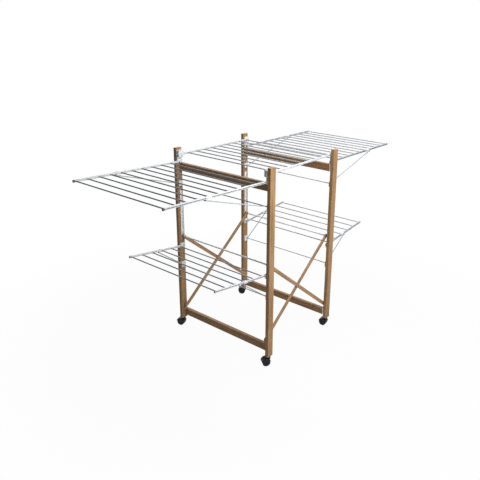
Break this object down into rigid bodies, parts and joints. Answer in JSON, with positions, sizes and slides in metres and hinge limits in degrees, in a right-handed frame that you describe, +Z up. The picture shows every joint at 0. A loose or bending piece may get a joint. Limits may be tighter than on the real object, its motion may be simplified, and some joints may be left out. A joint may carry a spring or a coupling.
{
  "type": "clothes drying rack",
  "caption": "Folding wooden drying rack on castors, with hinged wire wings on both sides, a wire top shelf and scissor braces between two end frames.",
  "frame": {"origin": "on the floor, midway between the four posts, with the rack open", "axes": "+Z up; X along the wires and the wooden rails; Y from the front frame (-Y) to the back frame (+Y), the way the wings reach out"},
  "size_m": [0.6701, 1.7358, 1.01],
  "materials": {
    "walnut_beech": "walnut-stained beech, satin varnish",
    "light_beech": "walnut-stained beech slat, satin varnish",
    "white_wire": "pale grey coated steel wire",
    "white_track": "white coated steel channel",
    "white_plastic": "moulded, matt",
    "grey_plastic": "moulded, grey, matt",
    "black_plastic": "moulded, black, satin",
    "black_tyre": "hard black wheel",
    "zinc_steel": "zinc plated"
  },
  "bodies": {
    "front_frame": {"front_post_left": "walnut_beech", "front_track_left": "white_track", "front_post_right": "walnut_beech", "front_track_right": "white_track", "front_low_rail": "walnut_beech", "front_top_rail": "walnut_beech", "front_rail_plates": "white_track", "front_wing_brackets": "white_plastic", "front_low_wing_brackets": "white_plastic", "front_stay_brackets": "white_plastic", "front_brace_pivots": "zinc_steel", "front_screws": "zinc_steel", "shelf_saddles": "white_plastic"},
    "back_frame": {"back_post_left": "walnut_beech", "back_track_left": "white_track", "back_post_right": "walnut_beech", "back_track_right": "white_track", "back_low_rail": "walnut_beech", "back_top_rail": "walnut_beech", "back_rail_plates": "white_track", "back_wing_brackets": "white_plastic", "back_low_wing_brackets": "white_plastic", "back_stay_brackets": "white_plastic", "back_brace_pivots": "zinc_steel", "back_screws": "zinc_steel"},
    "inner_braces": {"inner_brace_left": "light_beech", "inner_brace_right": "light_beech", "back_slide_rod": "white_wire", "back_rollers": "black_plastic", "cross_pins": "zinc_steel"},
    "outer_braces": {"outer_brace_left": "light_beech", "outer_brace_right": "light_beech", "front_slide_rod": "white_wire", "front_rollers": "black_plastic"},
    "shelf": {"shelf_grille": "white_wire", "shelf_fittings": "grey_plastic"},
    "front_wing": {"front_wing_grille": "white_wire", "front_wing_fittings": "grey_plastic"},
    "front_wing_stay": {"front_wing_stay": "white_wire"},
    "front_low_wing": {"front_low_wing_grille": "white_wire", "front_low_wing_fittings": "grey_plastic"},
    "front_low_wing_stay": {"front_low_wing_stay": "white_wire"},
    "back_wing": {"back_wing_grille": "white_wire", "back_wing_fittings": "grey_plastic"},
    "back_wing_stay": {"back_wing_stay": "white_wire"},
    "back_low_wing": {"back_low_wing_grille": "white_wire", "back_low_wing_fittings": "grey_plastic"},
    "back_low_wing_stay": {"back_low_wing_stay": "white_wire"},
    "castor_front_left": {"castor_front_left_housing": "black_plastic"},
    "castor_front_left_wheel_pair": {"castor_front_left_wheels": "black_tyre"},
    "castor_front_right": {"castor_front_right_housing": "black_plastic"},
    "castor_front_right_wheel_pair": {"castor_front_right_wheels": "black_tyre"},
    "castor_back_left": {"castor_back_left_housing": "black_plastic"},
    "castor_back_left_wheel_pair": {"castor_back_left_wheels": "black_tyre"},
    "castor_back_right": {"castor_back_right_housing": "black_plastic"},
    "castor_back_right_wheel_pair": {"castor_back_right_wheels": "black_tyre"}
  },
  "joints": [
    {"name": "fold", "type": "hinge", "parent": "front_frame", "child": "inner_braces", "pos_m": [0, -0.252, 0.13], "axis": [1, 0, 0], "range_deg": [0, 42]},
    {"name": "brace_cross", "type": "hinge", "parent": "inner_braces", "child": "outer_braces", "pos_m": [0, 0, 0.33253], "axis": [1, 0, 0], "range_deg": [-84, 0]},
    {"name": "back_frame_pivot", "type": "hinge", "parent": "outer_braces", "child": "back_frame", "pos_m": [0, 0.252, 0.13], "axis": [1, 0, 0], "range_deg": [0, 42]},
    {"name": "shelf_lift", "type": "hinge", "parent": "back_frame", "child": "shelf", "pos_m": [0, 0.258, 0.97796], "axis": [-1, 0, 0], "range_deg": [0, 100]},
    {"name": "front_wing_fold", "type": "hinge", "parent": "front_frame", "child": "front_wing", "pos_m": [0, -0.268, 0.94196], "axis": [1, 0, 0], "range_deg": [0, 85.6]},
    {"name": "front_wing_stay_fold", "type": "hinge", "parent": "front_frame", "child": "front_wing_stay", "pos_m": [0, -0.2597, 0.82496], "axis": [1, 0, 0], "range_deg": [0, 100.11]},
    {"name": "front_low_wing_fold", "type": "hinge", "parent": "front_frame", "child": "front_low_wing", "pos_m": [0, -0.268, 0.48406], "axis": [1, 0, 0], "range_deg": [0, 96]},
    {"name": "front_low_wing_stay_fold", "type": "hinge", "parent": "front_frame", "child": "front_low_wing_stay", "pos_m": [0, -0.2597, 0.37306], "axis": [1, 0, 0], "range_deg": [0, 125.09]},
    {"name": "back_wing_fold", "type": "hinge", "parent": "back_frame", "child": "back_wing", "pos_m": [0, 0.268, 0.94196], "axis": [-1, 0, 0], "range_deg": [0, 83.6]},
    {"name": "back_wing_stay_fold", "type": "hinge", "parent": "back_frame", "child": "back_wing_stay", "pos_m": [0, 0.2597, 0.82496], "axis": [-1, 0, 0], "range_deg": [0, 98.31]},
    {"name": "back_low_wing_fold", "type": "hinge", "parent": "back_frame", "child": "back_low_wing", "pos_m": [0, 0.268, 0.48406], "axis": [-1, 0, 0], "range_deg": [0, 94.5]},
    {"name": "back_low_wing_stay_fold", "type": "hinge", "parent": "back_frame", "child": "back_low_wing_stay", "pos_m": [0, 0.2597, 0.37306], "axis": [-1, 0, 0], "range_deg": [0, 124.11]},
    {"name": "castor_front_left_swivel", "type": "hinge", "parent": "front_frame", "child": "castor_front_left", "pos_m": [-0.3055, -0.255, 0.05], "axis": [0, 0, 1], "continuous": true},
    {"name": "castor_front_left_roll", "type": "hinge", "parent": "castor_front_left", "child": "castor_front_left_wheel_pair", "pos_m": [-0.3196, -0.26013, 0.02], "axis": [0.342, -0.9397, 0], "continuous": true},
    {"name": "castor_front_right_swivel", "type": "hinge", "parent": "front_frame", "child": "castor_front_right", "pos_m": [0.3055, -0.255, 0.05], "axis": [0, 0, 1], "continuous": true},
    {"name": "castor_front_right_roll", "type": "hinge", "parent": "castor_front_right", "child": "castor_front_right_wheel_pair", "pos_m": [0.2969, -0.26729, 0.02], "axis": [0.8192, -0.5736, 0], "continuous": true},
    {"name": "castor_back_left_swivel", "type": "hinge", "parent": "back_frame", "child": "castor_back_left", "pos_m": [-0.3055, 0.255, 0.05], "axis": [0, 0, 1], "continuous": true},
    {"name": "castor_back_left_roll", "type": "hinge", "parent": "castor_back_left", "child": "castor_back_left_wheel_pair", "pos_m": [-0.31779, 0.2464, 0.02], "axis": [0.5736, -0.8192, 0], "continuous": true},
    {"name": "castor_back_right_swivel", "type": "hinge", "parent": "back_frame", "child": "castor_back_right", "pos_m": [0.3055, 0.255, 0.05], "axis": [0, 0, 1], "continuous": true},
    {"name": "castor_back_right_roll", "type": "hinge", "parent": "castor_back_right", "child": "castor_back_right_wheel_pair", "pos_m": [0.29073, 0.25239, 0.02], "axis": [0.1736, -0.9848, 0], "continuous": true}
  ],
  "couplings": [
    {"joint": "brace_cross", "follows": "fold", "ratio": -2},
    {"joint": "back_frame_pivot", "follows": "fold", "ratio": 1},
    {"joint": "front_wing_stay_fold", "follows": "front_wing_fold", "ratio": 1.1695},
    {"joint": "front_low_wing_fold", "follows": "front_wing_fold", "ratio": 1.1215},
    {"joint": "front_low_wing_stay_fold", "follows": "front_wing_fold", "ratio": 1.4613},
    {"joint": "back_wing_stay_fold", "follows": "back_wing_fold", "ratio": 1.1759},
    {"joint": "back_low_wing_fold", "follows": "back_wing_fold", "ratio": 1.1304},
    {"joint": "back_low_wing_stay_fold", "follows": "back_wing_fold", "ratio": 1.4845}
  ]
}
